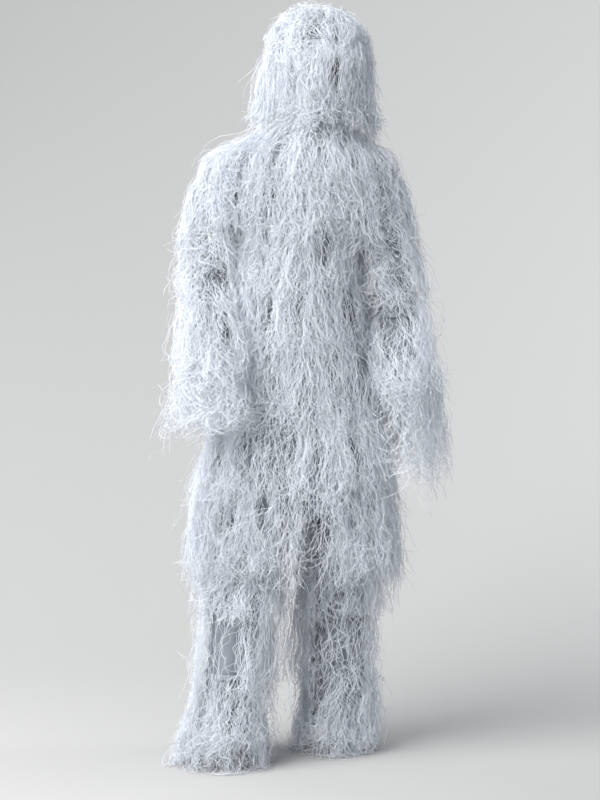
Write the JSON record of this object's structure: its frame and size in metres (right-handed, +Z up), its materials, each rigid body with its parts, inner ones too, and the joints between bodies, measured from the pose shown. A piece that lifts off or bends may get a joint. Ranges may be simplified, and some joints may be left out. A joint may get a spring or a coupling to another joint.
{
  "type": "ghillie suit",
  "caption": "Hooded snow ghillie jacket and trousers in their worn pose, covered in tiers of hanging white thread, with a zip front and a lifting thread veil.",
  "frame": {"origin": "on the ground under the wearer, midway between the hips from side to side", "axes": "+Z up, -Y the way the wearer faces, +X to the wearer's left hand"},
  "size_m": [0.693, 0.4329, 1.806],
  "materials": {
    "thread": "matte",
    "snow_cloth": "matte",
    "lining_cloth": "matte",
    "elastic": "matte",
    "zip_plastic": "satin"
  },
  "bodies": {
    "jacket": {"jacket_back_panel": "snow_cloth", "jacket_front_left_panel": "snow_cloth", "jacket_front_right_panel": "snow_cloth", "jacket_yoke": "snow_cloth", "collar": "snow_cloth", "zip_chain": "zip_plastic", "front_placket": "snow_cloth", "yoke_fringe_front": "thread", "yoke_fringe_back": "thread", "chest_fringe_front": "thread", "chest_fringe_back": "thread", "waist_fringe_front": "thread", "waist_fringe_back": "thread", "hip_fringe_front": "thread", "hip_fringe_back": "thread", "neck_fringe": "thread", "neck_section": "lining_cloth", "skirt_left": "snow_cloth", "skirt_right": "snow_cloth", "skirt_fringe_left": "thread", "skirt_fringe_right": "thread"},
    "zip": {"zip_slider": "zip_plastic"},
    "hood": {"hood_crown": "snow_cloth", "hood_face_elastic": "elastic", "hood_crown_fringe": "thread", "hood_curtain_fringe": "thread", "veil_tape": "elastic"},
    "veil": {"face_veil": "thread"},
    "trousers": {"trouser_waistband": "elastic", "trouser_seat": "snow_cloth", "left_hip_section": "snow_cloth", "right_hip_section": "snow_cloth"},
    "left_upper_arm": {"left_shoulder_section": "snow_cloth", "left_upper_sleeve": "snow_cloth", "left_elbow_section": "snow_cloth", "left_sleeve_fringe_1": "thread", "left_sleeve_fringe_2": "thread"},
    "left_forearm": {"left_forearm_sleeve": "snow_cloth", "left_cuff_band": "elastic", "left_sleeve_fringe_3": "thread"},
    "left_thigh": {"left_thigh": "snow_cloth", "left_knee_section": "snow_cloth", "left_knee_fringe": "thread"},
    "left_shin": {"left_shin": "snow_cloth", "left_ankle_band": "elastic", "left_hem_fringe": "thread"},
    "right_upper_arm": {"right_shoulder_section": "snow_cloth", "right_upper_sleeve": "snow_cloth", "right_elbow_section": "snow_cloth", "right_sleeve_fringe_1": "thread", "right_sleeve_fringe_2": "thread"},
    "right_forearm": {"right_forearm_sleeve": "snow_cloth", "right_cuff_band": "elastic", "right_sleeve_fringe_3": "thread"},
    "right_thigh": {"right_thigh": "snow_cloth", "right_knee_section": "snow_cloth", "right_knee_fringe": "thread"},
    "right_shin": {"right_shin": "snow_cloth", "right_ankle_band": "elastic", "right_hem_fringe": "thread"}
  },
  "joints": [
    {"name": "waist_bend", "type": "hinge", "parent": "jacket", "child": "trousers", "pos_m": [0, 0.02, 1.02], "axis": [-1, 0, 0], "range_deg": [-8, 25], "deforming": ["hip_fringe_front", "hip_fringe_back", "waist_fringe_front", "waist_fringe_back"]},
    {"name": "hood_yaw", "type": "hinge", "parent": "jacket", "child": "hood", "pos_m": [0.043, -0.009, 1.56], "axis": [0, 0, 1], "range_deg": [-50, 50], "deforming": ["neck_section", "neck_fringe", "hood_curtain_fringe"]},
    {"name": "veil_lift", "type": "hinge", "parent": "hood", "child": "veil", "pos_m": [0.043, -0.126, 1.712], "axis": [-1, 0, 0], "range_deg": [0, 80]},
    {"name": "zip_slide", "type": "slide", "parent": "jacket", "child": "zip", "axis": [0, 0, -1], "range_m": [0, 0.318]},
    {"name": "left_shoulder", "type": "hinge", "parent": "jacket", "child": "left_upper_arm", "pos_m": [-0.178, 0, 1.385], "axis": [-1, 0, 0], "range_deg": [-25, 55], "deforming": ["left_shoulder_section", "left_sleeve_fringe_1", "left_sleeve_fringe_2"]},
    {"name": "left_elbow", "type": "hinge", "parent": "left_upper_arm", "child": "left_forearm", "pos_m": [-0.222, 0.025, 1.18], "axis": [-1, 0, 0], "range_deg": [-20, 60], "deforming": ["left_elbow_section", "left_sleeve_fringe_3"]},
    {"name": "left_hip", "type": "hinge", "parent": "trousers", "child": "left_thigh", "pos_m": [-0.085, 0, 0.905], "axis": [-1, 0, 0], "range_deg": [-20, 40], "deforming": ["left_hip_section", "skirt_left", "skirt_fringe_left"]},
    {"name": "left_knee", "type": "hinge", "parent": "left_thigh", "child": "left_shin", "pos_m": [-0.14, -0.07, 0.48], "axis": [1, 0, 0], "range_deg": [0, 75], "deforming": ["left_knee_section", "left_knee_fringe", "left_hem_fringe"]},
    {"name": "right_shoulder", "type": "hinge", "parent": "jacket", "child": "right_upper_arm", "pos_m": [0.178, 0, 1.385], "axis": [-1, 0, 0], "range_deg": [-25, 55], "deforming": ["right_shoulder_section", "right_sleeve_fringe_1", "right_sleeve_fringe_2"]},
    {"name": "right_elbow", "type": "hinge", "parent": "right_upper_arm", "child": "right_forearm", "pos_m": [0.226, 0.015, 1.15], "axis": [-1, 0, 0], "range_deg": [-12, 70], "deforming": ["right_elbow_section", "right_sleeve_fringe_3"]},
    {"name": "right_hip", "type": "hinge", "parent": "trousers", "child": "right_thigh", "pos_m": [0.085, 0, 0.905], "axis": [-1, 0, 0], "range_deg": [-12, 50], "deforming": ["right_hip_section", "skirt_right", "skirt_fringe_right"]},
    {"name": "right_knee", "type": "hinge", "parent": "right_thigh", "child": "right_shin", "pos_m": [0.103, -0.01, 0.48], "axis": [1, 0, 0], "range_deg": [0, 75], "deforming": ["right_knee_section", "right_knee_fringe", "right_hem_fringe"]}
  ]
}
